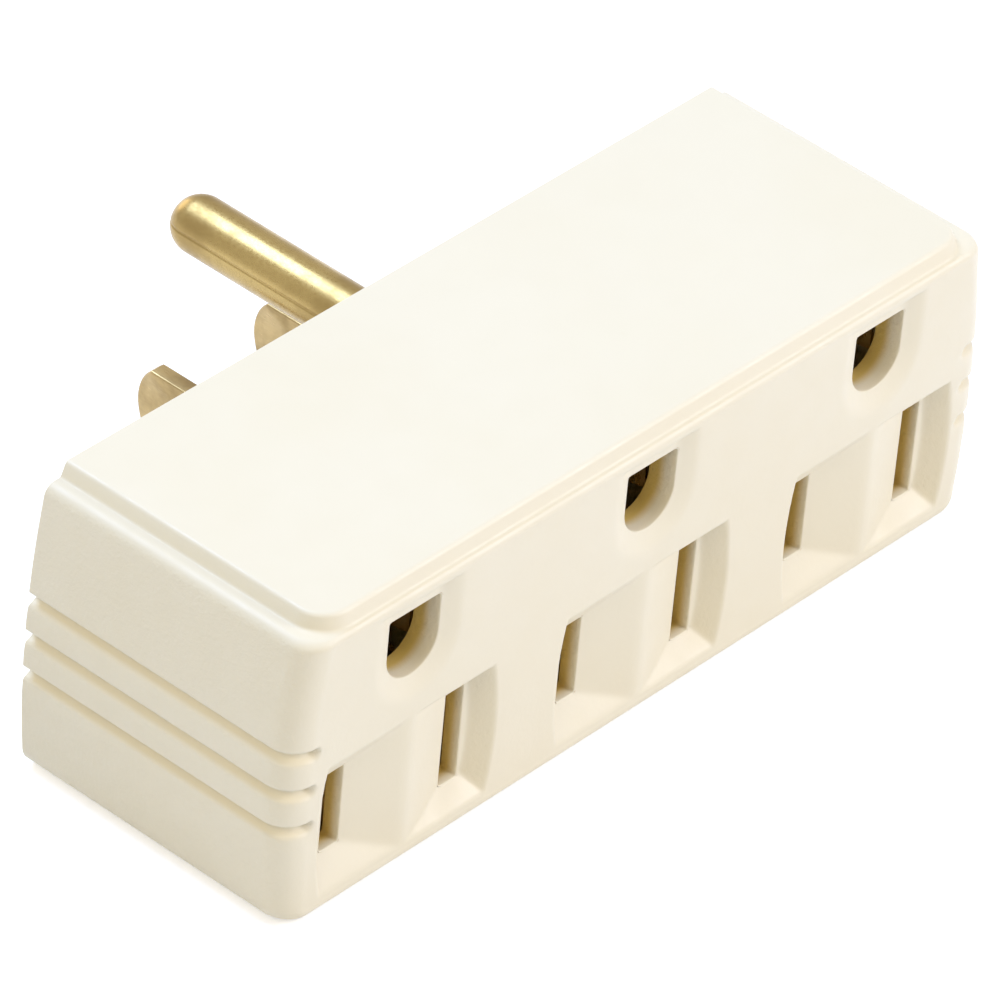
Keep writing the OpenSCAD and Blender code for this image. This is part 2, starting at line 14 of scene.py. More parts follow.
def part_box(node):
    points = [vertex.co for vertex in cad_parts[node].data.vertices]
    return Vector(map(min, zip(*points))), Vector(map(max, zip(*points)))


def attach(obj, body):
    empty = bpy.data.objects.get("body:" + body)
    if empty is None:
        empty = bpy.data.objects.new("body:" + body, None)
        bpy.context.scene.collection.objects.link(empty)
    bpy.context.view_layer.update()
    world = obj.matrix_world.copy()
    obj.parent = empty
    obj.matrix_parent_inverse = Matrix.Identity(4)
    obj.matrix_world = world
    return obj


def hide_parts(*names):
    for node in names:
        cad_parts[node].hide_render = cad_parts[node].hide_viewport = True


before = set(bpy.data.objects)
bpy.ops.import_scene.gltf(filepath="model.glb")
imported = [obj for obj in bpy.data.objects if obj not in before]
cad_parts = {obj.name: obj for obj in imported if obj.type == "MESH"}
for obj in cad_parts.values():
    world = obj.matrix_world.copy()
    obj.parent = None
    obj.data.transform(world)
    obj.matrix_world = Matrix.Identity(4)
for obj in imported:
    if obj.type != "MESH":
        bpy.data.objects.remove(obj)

LOG = logging.getLogger("plug_adapter")
MM = 0.001
BODY = "root"

Colour = tuple[float, float, float]
Pair = tuple[float, float]


class Lay(Enum):
    """The direction in which the fine lines of a metal run."""

    ALONG_X = (1.0, 14.0, 14.0)
    ALONG_Y = (14.0, 1.0, 14.0)
    ALONG_Z = (14.0, 14.0, 1.0)
    SANDED = (9.0, 5.0, 9.0)
    NONE = (1.0, 1.0, 1.0)


# ---------------------------------------------------------------- mesh making


def quad_faces(rows: int, columns: int, wrap_rows: bool, wrap_columns: bool) -> np.ndarray:
    """The four-cornered faces of a grid of points.

    Face (i, j) joins points (i, j), (i, j+1), (i+1, j+1) and (i+1, j); a wrapped
    direction takes its indices modulo its count, which closes the seam.

    Args:
        rows: number of rows of points.
        columns: number of points in a row.
        wrap_rows: whether the last row joins the first.
        wrap_columns: whether the last column joins the first.

    Returns:
        An array of point numbers, four to a face.
    """
    i = np.arange(rows if wrap_rows else rows - 1)[:, None]
    j = np.arange(columns if wrap_columns else columns - 1)[None, :]
    i2, j2 = (i + 1) % rows, (j + 1) % columns
    corners = [i * columns + j, i * columns + j2, i2 * columns + j2, i2 * columns + j]
    return np.stack(np.broadcast_arrays(*corners), axis=-1).reshape(-1, 4)


def new_piece(name: str, points: np.ndarray, faces: list, sharp_degrees: float = 35.0) -> bpy.types.Object:
    """Puts points and faces into a mesh object.

    Args:
        name: the piece's name.
        points: an array of points in metres, any shape that ends in 3.
        faces: lists of point numbers.
        sharp_degrees: edges that turn more than this stay crisp.

    Returns:
        The object, linked to the scene.
    """
    mesh = bpy.data.meshes.new(name)
    mesh.from_pydata(points.reshape(-1, 3).tolist(), [], faces)
    mesh.validate()
    return shown(name, mesh, sharp_degrees)


def shown(name: str, mesh: bpy.types.Mesh, sharp_degrees: float) -> bpy.types.Object:
    """Links a mesh to the scene, faces outwards and smooth between its sharp edges.

    Args:
        name: the piece's name.
        mesh: its mesh.
        sharp_degrees: edges that turn more than this stay crisp.

    Returns:
        The object.
    """
    work = bmesh.new()
    work.from_mesh(mesh)
    bmesh.ops.recalc_face_normals(work, faces=work.faces)
    work.to_mesh(mesh)
    work.free()
    mesh.shade_smooth()
    mesh.set_sharp_from_angle(angle=math.radians(sharp_degrees))
    piece = bpy.data.objects.new(name, mesh)
    bpy.context.scene.collection.objects.link(piece)
    return piece


def softened_copy(name: str, node: str, radius: float, steps: int) -> bpy.types.Object:
    """A copy of a CAD solid whose edges are rounded.

    The copy's loose triangles are merged, flat faces become one face each, and a
    bevel of the given radius runs along every edge that turns more than 32 degrees.

    Args:
        name: the piece's name.
        node: the CAD node that is copied.
        radius: rounding radius in metres.
        steps: faces across a rounding.

    Returns:
        The object.
    """
    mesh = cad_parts[node].data.copy()
    mesh.name = name
    mesh.materials.clear()
    work = bmesh.new()
    work.from_mesh(mesh)
    bmesh.ops.remove_doubles(work, verts=work.verts, dist=1e-6)
    bmesh.ops.dissolve_limit(work, angle_limit=math.radians(0.3), verts=work.verts, edges=work.edges)
    work.to_mesh(mesh)
    work.free()
    mesh.shade_flat()
    piece = bpy.data.objects.new(name, mesh)
    bpy.context.scene.collection.objects.link(piece)
    bevel = piece.modifiers.new("edge_rounding", "BEVEL")
    bevel.width = radius
    bevel.segments = steps
    bevel.limit_method = "ANGLE"
    bevel.angle_limit = math.radians(32)
    bevel.use_clamp_overlap = True
    bevel.miter_outer = "MITER_ARC"
    return piece


# ------------------------------------------------------------------- finishes


class Nodes:
    """A material's node tree, with short names for the nodes that the finishes use."""

    def __init__(self, name: str) -> None:
        """Starts a material that has a Principled shader and the object's own coordinates."""
        self.material = bpy.data.materials.new(name)
        self.material.use_nodes = True
        self.tree = self.material.node_tree
        self.tree.nodes.clear()
        self.output = self.tree.nodes.new("ShaderNodeOutputMaterial")
        self.shader = self.tree.nodes.new("ShaderNodeBsdfPrincipled")
        self.link(self.shader.outputs["BSDF"], self.output.inputs["Surface"])
        self.place = self.tree.nodes.new("ShaderNodeTexCoord").outputs["Object"]

    def link(self, source: bpy.types.NodeSocket, target: bpy.types.NodeSocket) -> None:
        """Joins an output to an input."""
        self.tree.links.new(source, target)

    def feed(self, target: bpy.types.NodeSocket, value: object) -> None:
        """Gives an input either another node's output or a plain value."""
        if isinstance(value, bpy.types.NodeSocket):
            self.link(value, target)
        else:
            target.default_value = value

    def stretched(self, scale: Colour) -> bpy.types.NodeSocket:
        """The object's coordinates, scaled along each axis."""
        node = self.tree.nodes.new("ShaderNodeMapping")
        node.inputs["Scale"].default_value = scale
        self.link(self.place, node.inputs["Vector"])
        return node.outputs["Vector"]

    def noise(self, scale: float, detail: float = 2.0, roughness: float = 0.5,
              place: bpy.types.NodeSocket | None = None) -> bpy.types.NodeSocket:
        """Cloudy noise from 0 to 1.

        Args:
            scale: features to the metre.
            detail: octaves.
            roughness: weight of the finer octaves.
            place: coordinates, the object's own if none are given.

        Returns:
            The noise's value.
        """
        node = self.tree.nodes.new("ShaderNodeTexNoise")
        node.inputs["Scale"].default_value = scale
        node.inputs["Detail"].default_value = detail
        node.inputs["Roughness"].default_value = roughness
        self.link(place or self.place, node.inputs["Vector"])
        return node.outputs["Fac"]

    def remap(self, value: bpy.types.NodeSocket, low: float, high: float,
              to_low: float, to_high: float) -> bpy.types.NodeSocket:
        """A value's range low to high, moved smoothly to to_low to to_high and clamped.

        Args:
            value: the value to move.
            low: value that becomes to_low.
            high: value that becomes to_high.
            to_low: result at and below low.
            to_high: result at and above high.

        Returns:
            The moved value.
        """
        node = self.tree.nodes.new("ShaderNodeMapRange")
        node.interpolation_type = "SMOOTHSTEP"
        self.link(value, node.inputs["Value"])
        for key, number in (("From Min", low), ("From Max", high), ("To Min", to_low), ("To Max", to_high)):
            node.inputs[key].default_value = number
        return node.outputs["Result"]

    def math(self, kind: str, first: object, second: object = 0.0) -> bpy.types.NodeSocket:
        """One sum of two values, such as MULTIPLY or ADD."""
        node = self.tree.nodes.new("ShaderNodeMath")
        node.operation = kind
        self.feed(node.inputs[0], first)
        self.feed(node.inputs[1], second)
        return node.outputs["Value"]

    def mix(self, share: bpy.types.NodeSocket, first: object, second: object) -> bpy.types.NodeSocket:
        """A colour between two, by a share from 0 to 1."""
        node = self.tree.nodes.new("ShaderNodeMix")
        node.data_type = "RGBA"
        self.link(share, node.inputs["Factor"])
        self.feed(node.inputs["A"] if isinstance(first, float) else node.inputs[6], first)
        self.feed(node.inputs[7], second)
        return node.outputs[2]

    def side_facing(self) -> bpy.types.NodeSocket:
        """How much a surface faces along X, from 0 to 1."""
        geometry = self.tree.nodes.new("ShaderNodeNewGeometry")
        split = self.tree.nodes.new("ShaderNodeSeparateXYZ")
        self.link(geometry.outputs["Normal"], split.inputs["Vector"])
        return self.math("ABSOLUTE", split.outputs["X"])

    def height(self) -> bpy.types.NodeSocket:
        """The height of a point, in metres."""
        split = self.tree.nodes.new("ShaderNodeSeparateXYZ")
        self.link(self.place, split.inputs["Vector"])
        return split.outputs["Z"]

    def bump(self, height: bpy.types.NodeSocket, depth: float,
             under: bpy.types.NodeSocket | None = None) -> bpy.types.NodeSocket:
        """A surface raised by a height from 0 to 1.

        Args:
            height: the height.
            depth: what a height of 1 is, in metres.
            under: the normal that this one lies on.

        Returns:
            The normal.
        """
        node = self.tree.nodes.new("ShaderNodeBump")
        node.inputs["Distance"].default_value = depth
        self.link(height, node.inputs["Height"])
        if under is not None:
            self.link(under, node.inputs["Normal"])
        return node.outputs["Normal"]


@dataclass(frozen=True)
class IvoryPlastic:
    """Moulded ivory plastic: smooth on the front and top, spark-grained on the ends."""

    name: str = "ivory_plastic"
    tone: Colour = (0.885, 0.806, 0.612)
    deep_tone: Colour = (0.865, 0.775, 0.560)
    gloss: float = 0.36
    matt: float = 0.50
    grain_per_metre: float = 2600.0
    grain_depth: float = 0.09 * MM
    quiet_grain: float = 0.16
    grain_top: Pair = (25.0 * MM, 25.5 * MM)
    wave_depth: float = 0.06 * MM
    # painted shade: the darker golden tone of the slots' and ground holes' walls, standing in for shade and bounce
    # light there
    hollow_shade_tone: Colour = (0.75, 0.54, 0.16)

    def build(self) -> bpy.types.Material:
        """Makes the material.

        The colour moves between two tones with cloudy noise, and inside the slots and ground holes it moves to a darker
        golden tone that is painted shade and bounce light. The grain is fine noise raised over the surface, full on
        faces that point along X and faint elsewhere, on top of a slow wave of the moulded surface.

        Returns:
            The material.
        """
        made = Nodes(self.name)
        clouds = made.remap(made.noise(55.0, 3.0), 0.3, 0.7, 0.0, 1.0)
        specks = made.remap(made.noise(2600.0, 2.0, 0.7), 0.62, 0.78, 0.0, 0.35)
        share = made.math("ADD", made.math("MULTIPLY", clouds, 0.45), specks)
        skin = made.mix(share, (*self.tone, 1.0), (*self.deep_tone, 1.0))
        # inside the slots and ground holes the colour moves to the painted shade tone
        made.link(made.mix(self.painted_hollow_shade(made), skin, (*self.hollow_shade_tone, 1.0)), made.shader.inputs["Base Color"])
        ends = made.math("MULTIPLY", made.remap(made.side_facing(), 0.55, 0.93, self.quiet_grain, 1.0),
                         made.remap(made.height(), *self.grain_top, 1.0, self.quiet_grain))
        grain = made.noise(self.grain_per_metre, 3.0, 0.6)
        wave = made.bump(made.noise(140.0, 1.0), self.wave_depth)
        made.link(made.bump(made.math("MULTIPLY", grain, ends), self.grain_depth, wave), made.shader.inputs["Normal"])
        sheen = made.remap(made.noise(420.0, 3.0), 0.3, 0.7, self.gloss, self.matt)
        made.link(made.math("ADD", sheen, made.math("MULTIPLY", ends, 0.12)), made.shader.inputs["Roughness"])
        made.shader.inputs["IOR"].default_value = 1.49
        return made.material


    def painted_hollow_shade(self, made: Nodes) -> bpy.types.NodeSocket:
        """The share of painted shade and bounce light: how far a point lies inside the slots and ground holes, from 0
        to 1.

        The product of three smooth steps: along y from the recess floor inwards, and
        along x and z away from the outer skin.

        Args:
            made: the material's nodes.

        Returns:
            The share.
        """
        split = made.tree.nodes.new("ShaderNodeSeparateXYZ")
        made.link(made.place, split.inputs["Vector"])
        x = made.remap(made.math("ABSOLUTE", split.outputs["X"]), 0.0349, 0.0354, 1.0, 0.0)
        upper = made.remap(split.outputs["Z"], 0.0145, 0.0155, 0.0, 0.0003)
        deep = made.remap(split.outputs["Y"], -0.0175, -0.0145, 1.0, 0.0)
        y = made.math("MULTIPLY", deep, made.remap(made.math("ADD", split.outputs["Y"], upper), -0.0224, -0.0214, 0.0, 1.0))
        low = made.remap(split.outputs["Z"], 0.0009, 0.0012, 0.0, 1.0)
        high = made.remap(split.outputs["Z"], 0.0240, 0.0244, 1.0, 0.0)
        return made.math("MULTIPLY", made.math("MULTIPLY", x, y), made.math("MULTIPLY", low, high))


@dataclass(frozen=True)
class Brass:
    """Brass with fine lines along one direction, a little tarnish and small scratches."""

    name: str
    tone: Colour
    tarnish: Colour
    lay: Lay
    gloss: float
    matt: float
    line_depth: float = 0.006 * MM
    tarnish_share: float = 0.5

    def build(self) -> bpy.types.Material:
        """Makes the material.

        The lines are noise stretched along the lay, which moves both the height and
        the roughness. Tarnish is cloudy noise between the two tones.

        Returns:
            The material.
        """
        made = Nodes(self.name)
        lines = made.noise(520.0, 4.0, 0.65, made.stretched(self.lay.value))
        clouds = made.remap(made.noise(210.0, 4.0, 0.6), 0.38, 0.72, 0.0, self.tarnish_share)
        spots = made.remap(made.noise(1300.0, 2.0), 0.58, 0.82, 0.0, 0.22)
        share = made.math("MAXIMUM", clouds, spots)
        made.link(made.mix(share, (*self.tone, 1.0), (*self.tarnish, 1.0)), made.shader.inputs["Base Color"])
        made.shader.inputs["Metallic"].default_value = 1.0
        rough = made.math("ADD", made.remap(lines, 0.3, 0.7, self.gloss, self.matt), made.math("MULTIPLY", share, 0.18))
        made.link(rough, made.shader.inputs["Roughness"])
        made.link(made.bump(lines, self.line_depth), made.shader.inputs["Normal"])
        return made.material


# --------------------------------------------------------------------- pieces


def settle(piece: bpy.types.Object, slot: str, *nodes: str) -> bpy.types.Object:
    """Lets a piece ride on the body and hides the CAD nodes that it stands for.

    Args:
        piece: the piece.
        slot: not used.
        nodes: CAD nodes that it replaces.

    Returns:
        The piece.
    """
    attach(piece, BODY)
    if nodes:
        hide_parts(*nodes)
    LOG.info("%s: %d faces", piece.name, len(piece.data.polygons))
    return piece


def dress(node: str, material: bpy.types.Material) -> None:
    """Gives a CAD node its finish.

    Args:
        node: the node's name.
        material: the finish.
    """
    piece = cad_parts[node]
    piece.data.materials.clear()
    piece.data.materials.append(material)
    LOG.info("%s dressed in %s", node, material.name)


@dataclass(frozen=True)
class Hole:
    """A hole through the front wall: its middle, half width, reach below and above, and corner radius."""

    x: float
    z: float
    half_w: float
    below: float
    above: float
    corner: float
    round_below: bool

    def distance(self, p: np.ndarray) -> np.ndarray:
        """Signed distance to the hole's outline, negative inside.

        Above the middle it is that of a rectangle with rounded corners: the length
        of the positive part of q, plus the larger part of q where both are negative,
        less the corner radius, q being the offset past the corner's centre. Below,
        a round hole has the distance to its circle.

        Args:
            p: points (x, z) in millimetres.

        Returns:
            Distances in millimetres.
        """
        dx, dz = np.abs(p[..., 0] - self.x), p[..., 1] - self.z
        reach = np.where(dz > 0, self.above, self.below)
        qx, qz = dx - self.half_w + self.corner, np.abs(dz) - reach + self.corner
        box = np.hypot(np.maximum(qx, 0), np.maximum(qz, 0)) + np.minimum(np.maximum(qx, qz), 0) - self.corner
        disc = np.hypot(dx, dz) - self.half_w
        return np.where((dz < 0) & self.round_below, disc, box)

    def slope(self, p: np.ndarray) -> np.ndarray:
        """The direction away from the outline, from central differences of the distance."""
        step = 1e-4
        ex, ez = np.array([step, 0.0]), np.array([0.0, step])
        g = np.stack([self.distance(p + ex) - self.distance(p - ex), self.distance(p + ez) - self.distance(p - ez)], -1)
        return g / np.maximum(np.linalg.norm(g, axis=-1, keepdims=True), 1e-9)

    def snapped(self, p: np.ndarray, out: float) -> np.ndarray:
        """Points moved along the slope until they lie at a distance out from the outline."""
        for _ in range(4):
            p = p - (self.distance(p) - out)[..., None] * self.slope(p)
        return p

    def ring(self, spacing: float) -> np.ndarray:
        """Points on the outline, about evenly spaced, in order round the hole."""
        w, low, high = self.half_w, -self.below, self.above
        corners = np.array([[w, low], [w, high], [-w, high], [-w, low], [w, low]])
        length = np.concatenate([[0.0], np.cumsum(np.linalg.norm(np.diff(corners, axis=0), axis=1))])
        at = np.linspace(0.0, length[-1], int(length[-1] / spacing) + 1)[:-1] + 0.5 * spacing
        guide = np.stack([np.interp(at, length, corners[:, 0]), np.interp(at, length, corners[:, 1])], 1)
        return self.snapped(guide + np.array([self.x, self.z]), 0.0)


def soft_min(a: np.ndarray, b: np.ndarray, k: float) -> np.ndarray:
    """The smaller of two values, with the corner between them rounded over a width k."""
    h = np.clip(0.5 + 0.5 * (b - a) / k, 0.0, 1.0)
    return b * (1 - h) + a * h - k * h * (1 - h)


def soft_max(a: np.ndarray, b: np.ndarray, k: float) -> np.ndarray:
    """The larger of two values, with the corner between them rounded over a width k."""
    return -soft_min(-a, -b, k)


@dataclass(frozen=True)
class OutletFace:
    """Depth of the outlet face at every point, with the three outlets' recesses, dishes and holes. In millimetres."""

    pitch: float = 25.4
    blade_x: float = 6.35
    blade_z: float = 7.7
    slot_w: float = 1.95
    hot_h: float = 7.0
    neutral_h: float = 8.8
    recess_w: float = 17.6
    recess_h: float = 11.9
    recess_deep: float = 1.6
    recess_bow: float = 0.65
    ledge: float = 0.7
    ridge: float = 0.5
    ground_z: float = 19.8
    hole_r: float = 2.7
    hole_flat: float = 3.2
    dish_r: float = 4.4
    dish_deep: float = 0.7
    dish_top: float = 4.6
    wall: float = 3.1
    lip: float = 0.13
    crease: float = 0.16
    rim: float = 0.20

    def holes(self) -> list[Hole]:
        """The nine holes: a hot slot, a neutral slot and a ground hole for each outlet."""
        found = []
        for x in (-self.pitch, 0.0, self.pitch):
            for side, height in ((-1, self.hot_h), (1, self.neutral_h)):
                found.append(Hole(x + side * self.blade_x, self.blade_z, self.slot_w / 2, height / 2, height / 2, 0.12, False))
            found.append(Hole(x, self.ground_z, self.hole_r, self.hole_r, self.hole_flat, 0.15, True))
        return found

    def recess(self, dx: np.ndarray, z: np.ndarray) -> np.ndarray:
        """Depth of a recess at dx from its outlet's middle.

        The soft minimum of five slopes: down from the ridge, in from the bowed side
        (a cone's wall), up from the low rim, down from the high rim, and the floor.

        Args:
            dx: distance along x from the outlet's middle.
            z: height.

        Returns:
            Depth, 0 outside the recess.
        """
        half_slot = np.where(dx < 0, self.hot_h, self.neutral_h) / 2
        side = np.abs(dx)
        bow_r = (self.recess_h ** 2 / 4 + self.recess_bow ** 2) / (2 * self.recess_bow)
        mid_x = self.recess_w / 2 + self.recess_bow
        lean = (mid_x - (self.blade_x + self.slot_w / 2 + self.ledge)) / self.recess_deep
        low, high = self.blade_z - self.recess_h / 2, self.blade_z + self.recess_h / 2
        ridge = (side - self.ridge / 2) / (self.blade_x - self.slot_w / 2 - self.ridge / 2) * self.recess_deep
        bow = (bow_r - np.hypot(side - (mid_x - bow_r), z - self.blade_z)) / lean
        up = (z - low) / (self.blade_z - half_slot - low) * self.recess_deep
        down = (high - z) / (high - self.blade_z - half_slot) * self.recess_deep
        depth = soft_min(soft_min(ridge, bow, self.crease), soft_min(up, down, self.crease), self.crease)
        return soft_max(soft_min(depth, np.full_like(depth, self.recess_deep), self.crease * 0.5), np.zeros_like(depth), self.rim)

    def dish(self, dx: np.ndarray, z: np.ndarray) -> np.ndarray:
        """Depth of the lead-in round a ground hole: a cone below its middle, two slopes above it, and a short top wall.

        Args:
            dx: distance along x from the outlet's middle.
            z: height.

        Returns:
            Depth, 0 outside the dish.
        """
        dz = z - self.ground_z
        out = np.where(dz < 0, np.hypot(dx, dz), np.abs(dx))
        cone = (self.dish_r - out) / (self.dish_r - self.hole_r) * self.dish_deep
        top = (self.dish_top - dz) / 0.3 * self.dish_deep
        depth = soft_min(soft_min(cone, top, self.crease), np.full_like(cone, self.dish_deep), self.crease)
        return soft_max(depth, np.zeros_like(depth), self.rim)

    def depth(self, x: np.ndarray, z: np.ndarray) -> np.ndarray:
        """Depth of the whole face: the larger of recess and dish at the nearest outlet."""
        dx = x - self.pitch * np.clip(np.round(x / self.pitch), -1, 1)
        return np.maximum(self.recess(dx, z), self.dish(dx, z))


@dataclass
class Housing:
    """The one-piece ivory housing: a skin carried round three sides, its bores, its back rim and its inside. In millimetres."""

    node: str = "front_housing"
    half_l: float = 38.3
    front_y: float = -24.1
    back_y: float = 2.1
    shoulder_z: float = 25.4
    top_z: float = 26.6
    widest_z: float = 10.5
    bow_up: float = 84.0
    bow_down: float = 86.0
    corner_r: float = 2.4
    end_top_r: float = 1.0
    end_bottom_r: float = 2.0
    front_top_r: float = 0.6
    front_bottom_r: float = 1.2
    panel_end: float = 3.3
    panel_front: float = 1.0
    panel_lean: float = 0.5
    panel_corner: float = 2.4
    panel_edge: float = 0.36
    foot_end: float = 0.30
    foot_front: float = 0.28
    groove_zs: tuple[float, ...] = (9.1, 12.4, 15.7)
    groove_deep: float = 0.72
    groove_run_out: float = 0.14
    groove_above: float = 0.42
    groove_below: float = 0.46
    groove_end: float = 0.36
    rim_half: float = 35.8
    rim_low: float = 1.3
    rim_high: float = 24.3
    pitch_fine: float = 0.15
    face: OutletFace = field(default_factory=OutletFace)
    finish: IvoryPlastic = field(default_factory=IvoryPlastic)

    def end_x(self, z: np.ndarray) -> np.ndarray:
        """Half the body's length at height z: half_l - r + sqrt(r^2 - (z - widest_z)^2)."""
        r = np.where(z > self.widest_z, self.bow_up, self.bow_down)
        return self.half_l - r + np.sqrt(r * r - (z - self.widest_z) ** 2)

    @staticmethod
    def bend(a: Pair, b: Pair, c: Pair, count: int) -> np.ndarray:
        """Points on the curve (1-t)^2 a + 2t(1-t) b + t^2 c, t from 0 to 1."""
        t = np.linspace(0.0, 1.0, count)[:, None]
        return (1 - t) ** 2 * np.array(a) + 2 * t * (1 - t) * np.array(b) + t * t * np.array(c)

    def end_rows(self) -> np.ndarray:
        """The end's profile from the underside to the panel's top.

        Quarter circles at the low and high edge, which start where the bowed wall has
        their slope; between them the wall; then the shoulder, the panel's foot, its
        leaning side and its rounded edge.

        Returns:
            Points (half length, z), in order.
        """
        r, low = self.end_bottom_r, math.asin(self.widest_z / self.bow_down)
        q = np.linspace(-math.pi / 2, -low, 9)
        x0 = float(self.end_x(np.array(r - r * math.sin(low)))) - r * math.cos(low)
        under = np.stack([x0 + r * np.cos(q), r + r * np.sin(q)], 1)
        R, high = self.end_top_r, math.asin((self.shoulder_z - self.widest_z) / self.bow_up)
        cz = self.shoulder_z - R
        x1 = float(self.end_x(np.array(cz + R * math.sin(high)))) - R * math.cos(high)
        p = np.linspace(high, math.pi / 2, 10)
        over = np.stack([x1 + R * np.cos(p), cz + R * np.sin(p)], 1)
        z = self.wall_rows(under[-1, 1], over[0, 1])
        wall = np.stack([self.end_x(z), z], 1)
        top = self.half_l - self.panel_end
        return np.concatenate([[[under[0, 0] - 0.6, 0.0]], under, wall, over, self.panel_rows(top + self.panel_lean, top, self.foot_end, -1)])

    def front_rows(self) -> np.ndarray:
        """The front's profile, with as many points as the end's.

        Returns:
            Points (y, z), in order.
        """
        r, R = self.front_bottom_r, self.front_top_r
        q = np.linspace(-math.pi / 2, 0.0, 9)
        under = np.stack([self.front_y + r - r * np.cos(q), r + r * np.sin(q)], 1)
        cz = self.shoulder_z - R
        p = np.linspace(0.0, math.radians(64.0), 10)
        over = np.stack([self.front_y + R - R * np.cos(p), cz + R * np.sin(p)], 1)
        z = self.wall_rows(under[-1, 1], over[0, 1])
        wall = np.stack([np.full_like(z, self.front_y), z], 1)
        top = self.front_y + self.panel_front
        rows = np.concatenate([[[under[0, 0] + 0.6, 0.0]], under, wall, over, self.panel_rows(top - self.panel_lean, top, self.foot_front, 1)])
        return rows

    def wall_rows(self, low: float, high: float) -> np.ndarray:
        """Heights of the wall's rows: even spacing in the middle, shared by end and front, and a stretch at each end."""
        a, b = 3.2, 23.6
        middle = np.linspace(a, b, int((b - a) / self.pitch_fine))
        return np.concatenate([np.linspace(low, a, 14)[1:-1], middle, np.linspace(b, high, 9)[1:-1]])

    def panel_rows(self, foot: float, top: float, fillet: float, inward: int) -> np.ndarray:
        """The panel's foot, leaning side, rounded edge and a strip of its top.

        Args:
            foot: where its side starts.
            top: where its side ends.
            fillet: reach of the rounding at its foot.
            inward: +1 or -1, the direction from the edge towards the panel's middle.

        Returns:
            Points (place, z).
        """
        z0, f, e = self.shoulder_z, fillet, self.panel_edge
        way = np.array([top - foot, self.top_z - z0])
        way /= np.linalg.norm(way)
        at_foot, at_top = np.array([foot, z0]), np.array([top, self.top_z])
        rise = self.bend((foot - inward * f * 0.7, z0 - (0.03 if inward > 0 else 0.0)), tuple(at_foot), tuple(at_foot + way * f), 7)
        edge = self.bend(tuple(at_top - way * e), tuple(at_top), (top + inward * e, self.top_z), 9)
        return np.concatenate([rise, edge, [[top + inward * (e + 0.8), self.top_z]]])

    def corner_rows(self, end: np.ndarray, front: np.ndarray) -> tuple[np.ndarray, np.ndarray]:
        """The plan radius of the vertical corner at each row, along x and along y.

        It is the corner radius less a share of what the row is set in, and the
        panel's own radius on its rows.

        Args:
            end: the end's profile.
            front: the front's profile.

        Returns:
            Radii along x and y.
        """
        in_x = np.maximum(self.end_x(np.clip(end[:, 1], 0, self.shoulder_z)) - end[:, 0], 0)
        in_y = np.maximum(front[:, 0] - self.front_y, 0)
        ax, ay = self.corner_r - 0.55 * in_x, self.corner_r - 0.55 * in_y
        panel = np.arange(len(end)) >= len(end) - 17
        past = np.maximum(np.abs(end[:, 0] - (self.half_l - self.panel_end)) * (end[:, 0] < self.half_l - self.panel_end), 0)
        own = self.panel_corner + np.clip(end[:, 0] - (self.half_l - self.panel_end), 0, self.panel_lean) - 0.6 * past
        return np.where(panel, own, ax), np.where(panel, own, ay)

    def fine_columns(self) -> np.ndarray:
        """Places along x of the front's columns, close together where there are outlets."""
        reach, edge = 9.75, 34.3
        fine = np.linspace(-reach, reach, int(2 * reach / self.pitch_fine))
        middle = np.linspace(reach, self.face.pitch - reach, 7)[1:-1]
        right = np.concatenate([fine[fine > 0], middle, (self.face.pitch + fine)[self.face.pitch + fine < edge], [edge]])
        return np.concatenate([-right[::-1], [0.0] if len(fine) % 2 else [], right])

    def grooves(self, z: np.ndarray, past: np.ndarray) -> np.ndarray:
        """Depth of the finger grooves: deep * exp(-d^4) for each, and its run-out.

        The distance d from a groove's middle line is in units of its half width.
        The run-out has the same shape above that line and is exp(-d^2 / 4) below
        it, so the groove has a firm lip above and a soft one below.

        Args:
            z: height.
            past: distance beyond the groove's end on the front, 0 elsewhere.

        Returns:
            Depth.
        """
        up = z[..., None] - np.array(self.groove_zs)
        half = np.where(up > 0, self.groove_above, self.groove_below)
        d = np.hypot(up / half, past[..., None] / self.groove_end)
        firm = np.exp(-(d ** 4))
        soft = np.where(up > 0, firm, np.exp(-d * d / 4))
        return (self.groove_deep * firm + self.groove_run_out * soft).sum(-1)

    def skin(self) -> tuple[np.ndarray, int]:
        """The outer skin: each row's plan outline at its own height.

        An outline runs along the left end from the back, round a quarter ellipse,
        along the front, and back along the right end. Heights go from the end's to
        the front's profile by a smooth step over the corner. The grooves press it in
        along its outward direction, and the outlets along y.

        Returns:
            The grid of points in millimetres, rows first, and the number of columns
            on each end and corner together.
        """
        end, front = self.end_rows(), self.front_rows()
        ax, ay = self.corner_rows(end, front)
        rows = len(end)
        run = np.linspace(0.0, 1.0, 9)[:-1][None, :]
        turn = np.linspace(0.0, math.pi / 2, 15)[None, :]
        start_y = (front[:, 0] + ay)[:, None]
        side_x = np.broadcast_to(end[:, 0][:, None], (rows, 8))
        side_y = self.back_y + (start_y - self.back_y) * run
        corner_x = (end[:, 0] - ax)[:, None] + ax[:, None] * np.cos(turn)
        corner_y = start_y - ay[:, None] * np.sin(turn)
        blend = np.concatenate([np.zeros(8), 0.5 - 0.5 * np.cos(2 * turn[0])])[None, :]
        x = np.concatenate([side_x, corner_x], 1)
        y = np.concatenate([side_y, corner_y], 1)
        z = end[:, 1][:, None] * (1 - blend) + front[:, 1][:, None] * blend
        angle = np.concatenate([np.zeros(8), turn[0]])[None, :]
        fine = self.fine_columns()
        half_run = (end[:, 0] - ax)[:, None]
        stretch = np.linspace(0.0, 1.0, 9)[1:-1][None, :]
        wall = np.where(np.arange(rows) < rows - 27, 1.0, (half_run[:, 0] / half_run[rows - 28, 0]))[:, None]
        edge = fine[-1] * wall
        extra = edge + (half_run - edge) * stretch
        fx = np.concatenate([-extra[:, ::-1], fine[None, :] * wall, extra], 1)
